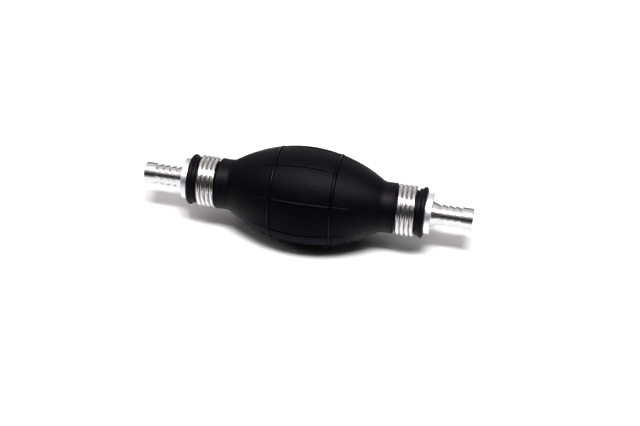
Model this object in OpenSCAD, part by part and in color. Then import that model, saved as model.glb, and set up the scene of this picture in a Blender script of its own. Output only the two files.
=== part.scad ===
// Siphon bulb pump: a squeezable rubber bulb with a one-way valve and a hose tail at each end.
// The flow axis is X, from the inlet at -X to the outlet at +X. The origin is the middle of the bulb.

/* [Bulb] */
// Diameter of the bulb across its belly
belly_d = 48; // [44:0.5:56]
// Radius of the long curve that runs from neck to neck, seen from the side
belly_curve_r = 67; // [60:1:80]
// Radius of the hollow fillet where the belly meets a neck
shoulder_fillet_r = 4; // [2:0.5:6]
// Thickness of the rubber round the belly
belly_wall = 3; // [2.4:0.1:4]
// Thickness of the rubber round a fitting's spigot
neck_wall = 4.15; // [3.8:0.05:5]
// Length of the plain neck between shoulder and clamp groove
neck_band_w = 6.4; // [5:0.1:9]
// Height of the rounded lip beside the clamp groove
lip_h = 0.15; // [0.1:0.05:0.4]
// Width of the rounded lip beside the clamp groove
lip_w = 1.2; // [0.8:0.1:1.6]
// Width of the low collar between the clamp groove and the end bead
collar_w = 1.4; // [0.8:0.1:2]
// How far the low collar lies below the neck
collar_drop = 0.9; // [0.5:0.1:1.4]
// Width of the rounded bead at each end of the rubber
bead_w = 2.6; // [2.4:0.1:4]
// How far the bead stands above the neck
bead_proud = 0.1; // [0:0.05:0.5]

/* [Grip ribs] */
// Number of lengthwise ribs
rib_count = 8; // [6:1:10]
// Width of a lengthwise rib
rib_w = 1.1; // [0.8:0.1:1.6]
// Height of a lengthwise rib at the belly
rib_h = 0.45; // [0.3:0.05:0.6]
// Distance from the middle at which a lengthwise rib has faded out
rib_reach = 26; // [22:0.5:30]
// Angle of the first lengthwise rib about the flow axis
rib_phase = 10; // [0:1:44]
// Distance between the two ring ribs
ring_spacing = 30; // [24:0.5:36]
// Width of a ring rib
ring_w = 1.4; // [1:0.1:2]
// Height of a ring rib
ring_h = 0.5; // [0.3:0.05:0.7]

/* [Clamps] */
// Diameter of the clamp wire
wire_d = 2.2; // [1.8:0.1:2.6]
// Turns of wire in a clamp
clamp_turns = 3.75; // [3:0.25:5]
// Gap between neighbouring turns
turn_gap = 0.05; // [0.02:0.01:0.2]
// Depth of the groove in the neck that holds the clamp
clamp_groove_depth = 2; // [1.6:0.1:2.2]
// Angle about the flow axis at which the +X end of each wire stops
wire_end_angle = 235; // [0:5:355]

/* [Hose tails] */
// Inside diameter of the hose that the tails are made for
hose_d = 10; // [8:0.5:12]
// How much wider than the hose the sharp edge of a barb is
barb_stretch = 1; // [0.6:0.1:1.6]
// How much narrower than the hose the root of a barb is
barb_undercut = 1; // [0.4:0.1:1.2]
// How much wider than the hose the plain land at the tip is
tip_stretch = 0.8; // [0.2:0.1:1.2]
// Wall between a barb's root and the passage
tail_wall = 1; // [0.8:0.1:1.4]
// Barbs between the base cone and the tip land
barb_count = 3; // [2:1:5]
// Distance from one barb to the next
barb_pitch = 3.3; // [2.6:0.1:4.5]
// Length of the cone beside the flange
base_cone_len = 4.5; // [3:0.1:7]
// How much wider the cone is at the flange than at its thin end
base_cone_rise = 3.4; // [2:0.1:5]
// Length of the plain land at the tip
tip_len = 5.6; // [4.6:0.1:9]
// Chamfer on the edges of the tip
tip_chamfer = 0.35; // [0.2:0.05:0.6]

/* [Flanges and spigots] */
// Diameter of the flange that the rubber bears on
flange_d = 20; // [18:0.5:25]
// Thickness of the flange
flange_t = 3.1; // [2:0.1:4]
// Chamfer on the edges of the flange
flange_chamfer = 0.3; // [0.1:0.05:0.6]
// Length of the spigot inside the rubber neck
spigot_len = 19.9; // [19:0.1:21]
// Wall of the spigot round the valve chamber, at the root of its ribs
spigot_wall = 1.8; // [1.6:0.1:2.4]
// Height of the ribs that grip the rubber
spigot_rib_h = 0.5; // [0.3:0.05:0.8]
// Number of ribs that grip the rubber
spigot_rib_count = 5; // [3:1:5]
// Distance from one spigot rib to the next
spigot_rib_pitch = 3.2; // [2.4:0.1:3.6]

/* [Check valves] */
// Travel of a poppet from shut to fully open
valve_lift = 2.5; // [1.5:0.1:3]
// Thickness of the seat ring below its sealing lip
seat_t = 2.6; // [2.2:0.1:3]
// Height of the seat's sealing lip
seat_lip_h = 0.4; // [0.3:0.1:0.8]
// Width of the seat's sealing lip
seat_lip_w = 0.6; // [0.4:0.1:0.9]
// Flat between the seat's bore and its sealing lip
seat_flat_w = 0.2; // [0.1:0.05:0.5]
// Thickness of the ring that seals the seat in its chamber
o_ring_d = 1; // [0.8:0.1:1.2]
// Thickness of the poppet's soft seal
seal_t = 1; // [0.8:0.1:1.4]
// How far the soft seal reaches past the sealing lip
seal_overlap = 0.3; // [0.2:0.05:0.5]
// How far the poppet's head reaches past its soft seal
head_rim = 0.2; // [0.1:0.05:0.4]
// Thickness of the poppet's head
head_t = 1.6; // [1.2:0.1:2]
// Space for the flow between the poppet's head and the chamber wall
flow_gap = 1.2; // [0.9:0.1:1.6]
// Diameter of the button that holds the soft seal on the poppet
button_d = 4.6; // [4.2:0.1:5]
// Thickness of that button
button_t = 0.8; // [0.5:0.1:1]
// Diameter of the poppet's neck inside the soft seal
button_neck_d = 3.5; // [2.6:0.1:3.8]
// Diameter of the boss that centres the spring on the poppet and on the guide
boss_d = 4.4; // [4:0.1:5]
// Length of the boss on the back of the poppet's head
boss_len = 1; // [0.8:0.1:1.4]
// Diameter of the poppet's stem
stem_d = 2; // [1.6:0.1:2.4]
// How far the stem stands out of the guide when the valve is shut
stem_out = 0.5; // [0.2:0.1:1]
// Diameter of the spring wire
spring_wire_d = 0.5; // [0.4:0.05:0.6]
// Space between the spring and the bosses inside it
spring_side_gap = 0.6; // [0.3:0.1:0.9]
// Turns of the spring, with those of its two flat ends
spring_turns = 5.5; // [4:0.5:6]
// Turns that lie flat at each end of the spring
spring_flat_turns = 0.8; // [0.5:0.1:1]
// Length of the guide's bore before its spokes
guide_nose_len = 3.25; // [2.5:0.05:4]
// Thickness of the guide's rim and spokes
guide_t = 2.5; // [2:0.1:3]
// Width of the guide's rim
guide_rim_w = 1.05; // [0.8:0.05:1.2]
// Number of spokes in the guide
spoke_count = 3; // [3:1:4]
// Width of a spoke
spoke_w = 1.4; // [1:0.1:1.8]

/* [Snap rings] */
// Thickness of a snap ring
snap_t = 1; // [0.8:0.1:1.2]
// Depth of the snap ring's groove
snap_groove_depth = 0.5; // [0.4:0.05:0.7]
// Width of the snap ring opposite its gap
snap_w = 1.5; // [1.2:0.1:1.8]
// Width of the snap ring beside its gap
snap_w_at_gap = 1.1; // [0.8:0.1:1.2]
// Angle that the snap ring's gap takes up
snap_gap_angle = 44; // [36:1:60]
// Outside radius of the ear at each end of the snap ring
ear_r = 1.1; // [1:0.05:1.3]
// Diameter of the plier hole in an ear
ear_hole_d = 1; // [0.8:0.1:1.2]
// Wall of the spigot between the snap ring's groove and the open end
snap_land = 0.95; // [0.8:0.05:1.4]

/* [Clearances] */
// Gap all round a piece that is pushed into a bore or onto a spigot
fit_gap = 0.05; // [0.03:0.01:0.08]
// Gap between the clamp wire and the rubber
clamp_gap = 0.1; // [0.08:0.01:0.2]
// Gap all round the poppet's stem in its guide
stem_gap = 0.08; // [0.05:0.01:0.1]
// Gap left between poppet and guide at full lift
stop_gap = 0.05; // [0.03:0.01:0.1]

/* [Hidden] */

// Sides of a full circle, with finer ones for the long curves and coarser ones for small rounds
$fn = 96;
long_curve_sides = 360;
small_round_sides = 48;
seal_sides = 32;
rib_sides = 24;

rubber_black = [0.07, 0.07, 0.075];
aluminium_grey = [0.85, 0.86, 0.87];
wire_grey = [0.78, 0.79, 0.8];
brass_yellow = [0.8, 0.65, 0.3];
acetal_white = [0.93, 0.92, 0.88];
seal_brown = [0.28, 0.16, 0.1];

// Wire coils: segments in a turn, sides of the wire, and the length of the blunted end
clamp_segments = 40;
clamp_sides = 12;
spring_segments = 18;
spring_sides = 8;
blunt_share = 0.55;

// How far a cut runs past the faces it goes through
overrun = 1;

// Radii from the passage outwards
barb_root_r = (hose_d - barb_undercut) / 2;
barb_crest_r = (hose_d + barb_stretch) / 2;
tip_r = (hose_d + tip_stretch) / 2;
passage_r = barb_root_r - tail_wall;
seat_lip_in_r = passage_r + seat_flat_w;
seat_lip_out_r = seat_lip_in_r + seat_lip_w;
seal_r = seat_lip_out_r + seal_overlap;
head_r = seal_r + head_rim;
chamber_r = head_r + flow_gap;
seat_r = chamber_r - fit_gap;
o_ring_floor_r = seat_r - o_ring_d;
snap_floor_r = chamber_r + snap_groove_depth;
spigot_root_r = chamber_r + spigot_wall;
spigot_crest_r = spigot_root_r + spigot_rib_h;
neck_bore_r = spigot_crest_r + fit_gap;
neck_r = neck_bore_r + neck_wall;
clamp_floor_r = neck_r - clamp_groove_depth;
clamp_r = clamp_floor_r + clamp_gap + wire_d / 2;
belly_r = belly_d / 2;
spring_r = boss_d / 2 + spring_side_gap + spring_wire_d / 2;

// Places along one half of the bulb, from the middle outwards
curve_sink = belly_curve_r - belly_r;
clamp_pitch = wire_d + turn_gap;
clamp_len = clamp_turns * clamp_pitch;
shoulder_x = sqrt(pow(belly_curve_r, 2) - pow(neck_r + curve_sink, 2));
groove_x = shoulder_x + neck_band_w;
groove_end_x = groove_x + clamp_len + wire_d + 2 * clamp_gap;
bead_x = groove_end_x + collar_w;
bulb_end_x = bead_x + bead_w;
clamp_x = (groove_x + groove_end_x) / 2;
ring_x = ring_spacing / 2;

// Places along one fitting
flange_x = bulb_end_x;
barb_x = flange_x + flange_t;
spigot_x = flange_x - spigot_len;
snap_x = spigot_x + snap_land;
snap_groove_w = snap_t + 2 * fit_gap;

// Places along one valve, from the back of its seat, in the direction of the flow
seal_s = seat_t + seat_lip_h;
head_s = seal_s + seal_t;
boss_s = head_s + head_t;
guide_s = boss_s + boss_len + valve_lift + stop_gap;
rim_s = guide_s + guide_nose_len;
valve_len = rim_s + guide_t;
spring_len = rim_s - boss_s;
chamber_end_x = snap_x + snap_groove_w + valve_len;
inlet_valve_x = -chamber_end_x;
outlet_valve_x = snap_x + snap_groove_w;

// Turns a profile of (radius, place along X) into a round piece on the flow axis
module lathe() {
    rotate([0, 90, 0])
        rotate_extrude()
            children();
}

// Sets a piece of the outlet half in the inlet half, facing the other way but with its hand kept
module at_inlet() {
    rotate([0, 0, 180])
        children();
}

// Point of the wire's skin: turn angle, place along X, coil radius, wire radius, angle round the wire
function skin_point(turn, x, coil_r, r, side) =
    let (out = coil_r + r * cos(side))
    [x + r * sin(side), out * cos(turn), out * sin(turn)];

// Round wire wound on the flow axis. Each stop is [turn angle, place along X]. The ends are blunted.
module wire_coil(stops, coil_r, r, sides) {
    last = len(stops) - 1;
    points = [
        for (i = [0:last])
            for (k = [0:sides - 1])
                let (end_r = (i == 0 || i == last) ? r * blunt_share : r)
                skin_point(stops[i][0], stops[i][1], coil_r, end_r, 360 * k / sides)
    ];
    skin = [
        for (i = [0:last - 1])
            for (k = [0:sides - 1])
                let (next = (k + 1) % sides)
                [i * sides + k, i * sides + next, (i + 1) * sides + next, (i + 1) * sides + k]
    ];
    first_cap = [for (k = [sides - 1:-1:0]) k];
    last_cap = [for (k = [0:sides - 1]) last * sides + k];
    polyhedron(points, concat(skin, [first_cap, last_cap]));
}

// Half of the rubber's outline, from the middle outwards
module rubber_half_outline() {
    fillet_axis_r = neck_r + shoulder_fillet_r;
    fillet_x = sqrt(pow(belly_curve_r + shoulder_fillet_r, 2) - pow(fillet_axis_r + curve_sink, 2));
    touch = belly_curve_r / (belly_curve_r + shoulder_fillet_r);
    touch_r = (fillet_axis_r + curve_sink) * touch - curve_sink;

    intersection() {
        translate([-curve_sink, 0])
            circle(belly_curve_r, $fn = long_curve_sides);
        square([belly_r, shoulder_x]);
    }
    difference() {
        polygon([
            [clamp_floor_r, fillet_x * touch], [touch_r, fillet_x * touch],
            [fillet_axis_r, fillet_x], [clamp_floor_r, fillet_x]
        ]);
        translate([fillet_axis_r, fillet_x])
            circle(shoulder_fillet_r);
    }
    square([neck_r, groove_x - lip_w / 2]);
    translate([neck_r + lip_h - lip_w / 2, groove_x - lip_w / 2])
        circle(lip_w / 2);
    square([neck_r + lip_h - lip_w / 2, groove_x]);
    square([clamp_floor_r, groove_end_x]);
    translate([0, groove_end_x])
        square([neck_r - collar_drop, collar_w]);
    translate([0, bead_x])
        square([neck_r + bead_proud - bead_w / 2, bead_w]);
    translate([neck_r + bead_proud - bead_w / 2, bead_x + bead_w / 2])
        circle(bead_w / 2);
}

// Half of the space inside the rubber: the squeezed chamber and the bore of the neck
module rubber_half_hollow() {
    hollow_curve_r = belly_curve_r - belly_wall;
    hollow_x = sqrt(pow(hollow_curve_r, 2) - pow(neck_bore_r + curve_sink, 2));
    intersection() {
        translate([-curve_sink, 0])
            circle(hollow_curve_r, $fn = long_curve_sides);
        square([belly_r, hollow_x]);
    }
    square([neck_bore_r, bulb_end_x]);
}

// Raised rings, as rounded bands on the long curve
module ring_rib_outline() {
    ring_r = sqrt(pow(belly_curve_r, 2) - pow(ring_x, 2)) - curve_sink;
    translate([ring_r + ring_h - ring_w / 2, ring_x])
        circle(ring_w / 2, $fn = small_round_sides);
}

// One lengthwise rib on the +Z side: a round bar bent to a tighter curve, so that it sinks at both ends
module lengthwise_rib() {
    bar_r = rib_w / 2;
    top_r = belly_r + rib_h - bar_r;
    end_r = sqrt(pow(belly_curve_r, 2) - pow(rib_reach, 2)) - curve_sink - bar_r;
    drop = top_r - end_r;
    bend_r = (pow(rib_reach, 2) + pow(drop, 2)) / (2 * drop);
    half_angle = asin(rib_reach / bend_r);
    translate([0, 0, top_r - bend_r])
        rotate([90, 0, 0])
            rotate([0, 0, 90 - half_angle])
                rotate_extrude(angle = 2 * half_angle, $fn = long_curve_sides)
                    translate([bend_r, 0])
                        circle(bar_r, $fn = rib_sides);
}

module bulb() {
    color(rubber_black) {
        lathe()
            difference() {
                union() {
                    rubber_half_outline();
                    mirror([0, 1])
                        rubber_half_outline();
                    ring_rib_outline();
                    mirror([0, 1])
                        ring_rib_outline();
                }
                rubber_half_hollow();
                mirror([0, 1])
                    rubber_half_hollow();
            }
        for (k = [0:rib_count - 1])
            rotate([rib_phase - 90 + 360 * k / rib_count, 0, 0])
                lengthwise_rib();
    }
}

// Turned fitting of the outlet side: ribbed spigot, flange, barbed tail, passage and valve chamber
module fitting() {
    barbs_x = barb_x + base_cone_len;
    land_x = barbs_x + barb_count * barb_pitch;
    tip_x = land_x + tip_len;
    ribs_x = flange_x - spigot_rib_count * spigot_rib_pitch;
    outline = concat(
        [[chamber_r, spigot_x], [spigot_root_r - spigot_rib_h, spigot_x], [spigot_root_r, spigot_x + spigot_rib_h]],
        [
            for (i = [0:spigot_rib_count - 1])
                each [
                    [spigot_root_r, ribs_x + i * spigot_rib_pitch - spigot_rib_pitch / 2],
                    [spigot_crest_r, ribs_x + i * spigot_rib_pitch],
                    [spigot_root_r, ribs_x + i * spigot_rib_pitch]
                ]
        ],
        [
            [spigot_root_r, flange_x],
            [flange_d / 2 - flange_chamfer, flange_x], [flange_d / 2, flange_x + flange_chamfer],
            [flange_d / 2, barb_x - flange_chamfer], [flange_d / 2 - flange_chamfer, barb_x],
            [barb_root_r + base_cone_rise / 2, barb_x]
        ],
        [
            for (i = [0:barb_count - 1])
                each [
                    [barb_root_r, barbs_x + i * barb_pitch],
                    [barb_crest_r, barbs_x + i * barb_pitch]
                ]
        ],
        [
            [barb_root_r, land_x], [tip_r, land_x],
            [tip_r, tip_x - tip_chamfer], [tip_r - tip_chamfer, tip_x],
            [passage_r + tip_chamfer, tip_x], [passage_r, tip_x - tip_chamfer],
            [passage_r, chamber_end_x], [chamber_r, chamber_end_x],
            [chamber_r, snap_x + snap_groove_w], [snap_floor_r, snap_x + snap_groove_w],
            [snap_floor_r, snap_x], [chamber_r, snap_x]
        ]
    );
    color(aluminium_grey)
        lathe()
            polygon(outline);
}

// Close-wound clamp of the outlet side. The wire climbs along X as it turns from Y towards Z.
module clamp(end_angle) {
    steps = ceil(clamp_turns * clamp_segments);
    stops = [
        for (i = [0:steps])
            let (share = i / steps)
            [end_angle - 360 * clamp_turns * (1 - share), clamp_x + clamp_len * (share - 0.5)]
    ];
    color(wire_grey)
        wire_coil(stops, clamp_r, wire_d / 2, clamp_sides);
}

// The valve pieces below stand on the flow axis with the back of the seat at the origin

module valve_seat() {
    groove_s = (seat_t - o_ring_d) / 2 - fit_gap;
    groove_end_s = (seat_t + o_ring_d) / 2 + fit_gap;
    color(brass_yellow)
        lathe()
            polygon([
                [passage_r, 0], [seat_r, 0],
                [seat_r, groove_s], [o_ring_floor_r, groove_s],
                [o_ring_floor_r, groove_end_s], [seat_r, groove_end_s],
                [seat_r, seat_t], [seat_lip_out_r, seat_t],
                [seat_lip_out_r, seal_s], [seat_lip_in_r, seal_s],
                [seat_lip_in_r, seat_t], [passage_r, seat_t]
            ]);
}

module seat_o_ring() {
    color(rubber_black)
        lathe()
            translate([o_ring_floor_r + o_ring_d / 2 + fit_gap / 2, seat_t / 2])
                circle(o_ring_d / 2, $fn = seal_sides);
}

module poppet() {
    color(acetal_white)
        lathe()
            polygon([
                [0, seal_s - button_t], [button_d / 2 - button_t / 2, seal_s - button_t],
                [button_d / 2, seal_s - button_t / 2], [button_d / 2, seal_s],
                [button_neck_d / 2, seal_s], [button_neck_d / 2, head_s],
                [head_r, head_s], [head_r, boss_s - head_t / 3], [head_r - head_t / 3, boss_s],
                [boss_d / 2, boss_s], [boss_d / 2, boss_s + boss_len],
                [stem_d / 2, boss_s + boss_len], [stem_d / 2, valve_len + stem_out - stem_d / 4],
                [stem_d / 4, valve_len + stem_out], [0, valve_len + stem_out]
            ]);
}

module poppet_seal() {
    color(seal_brown)
        lathe()
            translate([button_neck_d / 2 + fit_gap, seal_s])
                square([seal_r - button_neck_d / 2 - fit_gap, seal_t]);
}

// Compression spring from the poppet's head to the guide's spokes, with its end turns laid flat
module valve_spring() {
    steps = ceil(spring_turns * spring_segments);
    rise = spring_len - spring_wire_d - 2 * fit_gap;
    flat_share = spring_flat_turns / spring_turns;
    flat_rise = spring_flat_turns * (spring_wire_d + turn_gap);
    profile = [[0, 0], [flat_share, flat_rise], [1 - flat_share, rise - flat_rise], [1, rise]];
    stops = [
        for (i = [0:steps])
            let (share = i / steps)
            [360 * spring_turns * share, boss_s + fit_gap + spring_wire_d / 2 + lookup(share, profile)]
    ];
    color(wire_grey)
        wire_coil(stops, spring_r, spring_wire_d / 2, spring_sides);
}

module valve_guide() {
    rim_r = chamber_r - fit_gap;
    color(acetal_white)
        difference() {
            union() {
                lathe()
                    translate([rim_r - guide_rim_w, rim_s])
                        square([guide_rim_w, guide_t]);
                lathe()
                    translate([0, guide_s])
                        square([boss_d / 2, guide_nose_len + guide_t]);
                for (k = [0:spoke_count - 1])
                    rotate([360 * k / spoke_count, 0, 0])
                        translate([rim_s, -spoke_w / 2, 0])
                            cube([guide_t, spoke_w, rim_r - guide_rim_w / 2]);
            }
            lathe()
                translate([0, guide_s - overrun])
                    square([stem_d / 2 + stem_gap, guide_nose_len + guide_t + 2 * overrun]);
        }
}

// Snap ring of the outlet side, with its gap towards +Y
module snap_ring() {
    ring_r = snap_floor_r - fit_gap;
    inner_r = ring_r - (snap_w + snap_w_at_gap) / 2;
    inner_shift = (snap_w - snap_w_at_gap) / 2;
    ear_angle = snap_gap_angle / 2 + asin(ear_r / (ring_r - ear_r));
    ear_centre_r = ring_r - 1.5 * ear_r;
    color(wire_grey)
        translate([snap_x + fit_gap, 0, 0])
            rotate([90, 0, 90])
                linear_extrude(snap_t)
                    difference() {
                        union() {
                            difference() {
                                circle(ring_r);
                                translate([inner_shift, 0])
                                    circle(inner_r);
                                polygon([
                                    [0, 0],
                                    2 * ring_r * [cos(ear_angle), -sin(ear_angle)],
                                    2 * ring_r * [cos(ear_angle), sin(ear_angle)]
                                ]);
                            }
                            for (side = [-1, 1])
                                rotate(side * ear_angle)
                                    translate([ear_centre_r, 0])
                                        circle(ear_r, $fn = small_round_sides);
                        }
                        for (side = [-1, 1])
                            rotate(side * ear_angle)
                                translate([ear_centre_r, 0])
                                    circle(ear_hole_d / 2, $fn = small_round_sides);
                    }
}

module in_inlet_valve() {
    translate([inlet_valve_x, 0, 0])
        children();
}

module in_outlet_valve() {
    translate([outlet_valve_x, 0, 0])
        children();
}

bulb();
at_inlet() fitting();  // inlet_fitting
at_inlet() clamp(180 - wire_end_angle + 360 * clamp_turns);  // inlet_clamp
in_inlet_valve() valve_seat();  // inlet_valve_seat
in_inlet_valve() seat_o_ring();  // inlet_seat_o_ring
in_inlet_valve() poppet();  // inlet_poppet
in_inlet_valve() poppet_seal();  // inlet_poppet_seal
in_inlet_valve() valve_spring();  // inlet_valve_spring
in_inlet_valve() valve_guide();  // inlet_valve_guide
at_inlet() snap_ring();  // inlet_snap_ring
fitting();  // outlet_fitting
clamp(wire_end_angle);  // outlet_clamp
in_outlet_valve() valve_seat();  // outlet_valve_seat
in_outlet_valve() seat_o_ring();  // outlet_seat_o_ring
in_outlet_valve() poppet();  // outlet_poppet
in_outlet_valve() poppet_seal();  // outlet_poppet_seal
in_outlet_valve() valve_spring();  // outlet_valve_spring
in_outlet_valve() valve_guide();  // outlet_valve_guide
snap_ring();  // outlet_snap_ring
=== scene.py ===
# %% [markdown]
# # A hand primer bulb, dressed for a studio shot
# The fixed frame is loaded first: every solid of the pump, in metres, lying along X with the flow
# from -X to +X. Nothing in it is moved. Where a solid is too plain, a finer piece stands for it.

# %% Load the frame
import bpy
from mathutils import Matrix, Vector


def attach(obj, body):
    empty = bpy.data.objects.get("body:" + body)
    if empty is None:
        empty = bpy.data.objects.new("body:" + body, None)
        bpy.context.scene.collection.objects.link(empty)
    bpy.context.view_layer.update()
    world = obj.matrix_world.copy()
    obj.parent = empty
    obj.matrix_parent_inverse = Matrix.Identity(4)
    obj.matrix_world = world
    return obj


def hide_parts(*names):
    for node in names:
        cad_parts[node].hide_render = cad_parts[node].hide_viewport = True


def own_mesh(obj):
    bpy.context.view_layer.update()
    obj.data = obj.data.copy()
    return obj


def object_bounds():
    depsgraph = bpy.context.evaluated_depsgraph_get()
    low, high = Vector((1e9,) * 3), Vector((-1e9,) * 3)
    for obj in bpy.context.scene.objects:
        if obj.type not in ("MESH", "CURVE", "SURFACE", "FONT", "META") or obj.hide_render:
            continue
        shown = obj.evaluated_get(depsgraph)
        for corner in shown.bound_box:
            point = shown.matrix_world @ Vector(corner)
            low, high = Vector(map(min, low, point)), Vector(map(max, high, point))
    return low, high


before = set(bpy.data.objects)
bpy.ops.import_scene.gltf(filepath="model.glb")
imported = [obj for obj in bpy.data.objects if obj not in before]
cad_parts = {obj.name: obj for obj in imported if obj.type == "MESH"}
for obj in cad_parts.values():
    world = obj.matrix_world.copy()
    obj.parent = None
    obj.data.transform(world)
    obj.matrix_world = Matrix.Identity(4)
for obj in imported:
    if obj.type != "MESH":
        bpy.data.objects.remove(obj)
cad_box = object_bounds()

# %% [markdown]
# ## Sizes
# The pieces below repeat a few of the frame's own sizes, in millimetres, because a lathe outline
# is easier to read in millimetres than in metres. One scale turns them into metres when a mesh is
# made. The grain of a surface is about a thousand times finer, so it is written in microns.

# %% Modules and units
import math

import bpy
import bmesh
from mathutils import Matrix, Vector

MM = 0.001
MICRON = 0.000001
INLET, OUTLET = "inlet", "outlet"
print("a millimetre is", MM, "m and a micron is", MICRON, "m")

# %% [markdown]
# ## A workbench for node trees
# A material or a Geometry Nodes tree is a net of boxes and wires. Built by hand in the editor it is
# easy to see, but in a script every wire is a line of its own. Two small classes keep it short.
# The first is Num. It wraps a number that flows along a wire, so that a + b adds a Math node. The
# forms that start with r serve where the plain number comes first, as in 1 - a.

# %% Num
class Num:
    """A number on a wire. Arithmetic on it adds Math nodes to its tree."""

    def __init__(self, bench, socket):
        self.bench = bench
        self.socket = socket

    def __add__(self, other):
        return self.bench.maths("ADD", self, other)

    def __radd__(self, other):
        return self.bench.maths("ADD", other, self)

    def __sub__(self, other):
        return self.bench.maths("SUBTRACT", self, other)

    def __rsub__(self, other):
        return self.bench.maths("SUBTRACT", other, self)

    def __mul__(self, other):
        return self.bench.maths("MULTIPLY", self, other)

    def __rmul__(self, other):
        return self.bench.maths("MULTIPLY", other, self)

    def __truediv__(self, other):
        return self.bench.maths("DIVIDE", self, other)

    def __rtruediv__(self, other):
        return self.bench.maths("DIVIDE", other, self)

    def __neg__(self):
        return self.bench.maths("MULTIPLY", self, -1.0)


print("a Num adds, subtracts, multiplies, divides and changes its sign")

# %% [markdown]
# ### The bench
# The second class, Bench, makes all the nodes of one tree. A node gets its settings first, because
# some of them change which sockets there are, and then its inputs. An input is either a plain value
# or a wire from another node.

# %% Bench
class Bench:
    """Makes the nodes of one tree and wires them."""

    def __init__(self, tree):
        self.tree = tree

    def plug(self, socket, value):
        """Joins a wire to a socket, or writes a plain value into it."""
        value = getattr(value, "socket", value)
        if isinstance(value, bpy.types.NodeSocket):
            self.tree.links.new(value, socket)
        else:
            socket.default_value = value

    def node(self, kind, settings=None, inputs=None):
        """A new node. The stops of a colour ramp count as one of its settings."""
        made = self.tree.nodes.new(kind)
        for name, value in (settings or {}).items():
            if name == "stops":
                self.set_stops(made.color_ramp, value)
            else:
                setattr(made, name, value)
        for name, value in (inputs or {}).items():
            self.plug(made.inputs[name], value)
        return made

    def set_stops(self, ramp, stops):
        """Writes the places and colours of a colour ramp, which starts with two stops."""
        while len(ramp.elements) < len(stops):
            ramp.elements.new(1.0)
        for element, (place, colour) in zip(ramp.elements, stops):
            element.position = place
            element.color = (*colour, 1.0)

    def maths(self, operation, *operands):
        """A Math node. Its inputs all have the same name, so they go by number."""
        made = self.node("ShaderNodeMath", {"operation": operation}, dict(enumerate(operands)))
        return Num(self, made.outputs[0])

    def mix(self, share, first, second, blend="MIX"):
        """Mixes two colours. Sockets 6 and 7 of a Mix node are its two colours."""
        made = self.node("ShaderNodeMix", {"data_type": "RGBA", "blend_type": blend},
                         {0: share, 6: first, 7: second})
        return made.outputs[2]


print("workbench ready")

# %% [markdown]
# ## Turned outlines
# Most pieces of this pump come off a lathe or out of a round mould, so each one is an outline of
# (place along X, radius) swept round the X axis. A sharp corner never catches the light as a real
# edge does, so a corner may carry a fillet radius, which is replaced by a short arc. A point is
# also set just outside each arc: it holds the flat beside it flat under smooth shading.

# %% Outline helpers
ARC_STEP = math.radians(13)
HOLD = 0.03


def arc(centre_x, centre_r, radius, start, end, count):
    """Corners along an arc. Angles in degrees, 0 along +X and 90 outwards."""
    turns = [math.radians(start + (end - start) * i / count) for i in range(count + 1)]
    return [(centre_x + radius * math.cos(t), centre_r + radius * math.sin(t), 0) for t in turns]


def rounded(corners, closed=True):
    """Points of an outline whose corners are (x, r, fillet radius)."""
    points = []
    last = len(corners) - 1
    for i, (x, r, fillet) in enumerate(corners):
        here = Vector((x, r))
        at_end = not closed and i in (0, last)
        if fillet == 0 or at_end:
            points.append(here)
            continue
        before = Vector(corners[i - 1][:2]) - here
        after = Vector(corners[(i + 1) % len(corners)][:2]) - here
        half = before.angle(after) / 2
        reach = fillet / math.tan(half)
        centre = here + (before.normalized() + after.normalized()).normalized() * fillet / math.sin(half)
        start = here + before.normalized() * reach
        end = here + after.normalized() * reach
        if before.length > reach + 2 * HOLD:
            points.append(start + before.normalized() * HOLD)
        spoke = start - centre
        sweep = spoke.angle_signed(end - centre)
        steps = max(2, math.ceil(abs(sweep) / ARC_STEP))
        for k in range(steps + 1):
            turn = Matrix.Rotation(-sweep * k / steps, 2)
            points.append(centre + turn @ spoke)
        if after.length > reach + 2 * HOLD:
            points.append(end + after.normalized() * HOLD)
    return points


def mirrored(points):
    """The same outline for the inlet half, in the opposite order so that its faces point out."""
    return [Vector((-p.x, p.y)) for p in reversed(points)]


square = [(0, 0, 0), (5, 0, 1), (5, 5, 0)]
print("a square corner with a 1 mm fillet has", len(rounded(square, closed=False)), "points")

# %% [markdown]
# ### The lathe
# A Screw modifier could spin an outline, but it spaces its columns evenly and is one more live
# modifier to carry. Here every point of the outline is written once per column, and each face joins
# two neighbours of the outline with two neighbours round the axis. The mesh is then cleaned once:
# double points are merged and all normals are turned outwards.

# %% Lathe
MERGE = 1e-7


def even_columns(count):
    """Angles about X, the same step apart."""
    return [math.tau * k / count for k in range(count)]


def turned(name, outline, columns):
    """A closed outline in mm, turned about X into a mesh object in metres."""
    rows, around = len(outline), len(columns)
    verts = [
        (p.x * MM, p.y * math.cos(a) * MM, p.y * math.sin(a) * MM)
        for p in outline for a in columns
    ]
    faces = [
        (i * around + k, i * around + (k + 1) % around,
         (i + 1) % rows * around + (k + 1) % around, (i + 1) % rows * around + k)
        for i in range(rows) for k in range(around)
    ]
    mesh = bpy.data.meshes.new(name)
    mesh.from_pydata(verts, [], faces)
    tidy = bmesh.new()
    tidy.from_mesh(mesh)
    bmesh.ops.remove_doubles(tidy, verts=tidy.verts, dist=MERGE)
    bmesh.ops.recalc_face_normals(tidy, faces=tidy.faces)
    tidy.to_mesh(mesh)
    tidy.free()
    mesh.shade_smooth()
    piece = bpy.data.objects.new(name, mesh)
    bpy.context.scene.collection.objects.link(piece)
    print(name, len(mesh.polygons), "faces")
    return piece


print("the lathe merges points closer than", MERGE, "m")

# %% [markdown]
# ## Finishes
# Every finish is a Principled shader whose colour, roughness and bump change over the surface in
# the way the real making leaves it: a grain from the mould, rings from the lathe tool, lines from
# the drawing die. All patterns read Object coordinates, which are metres here, so scales are large.

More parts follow.
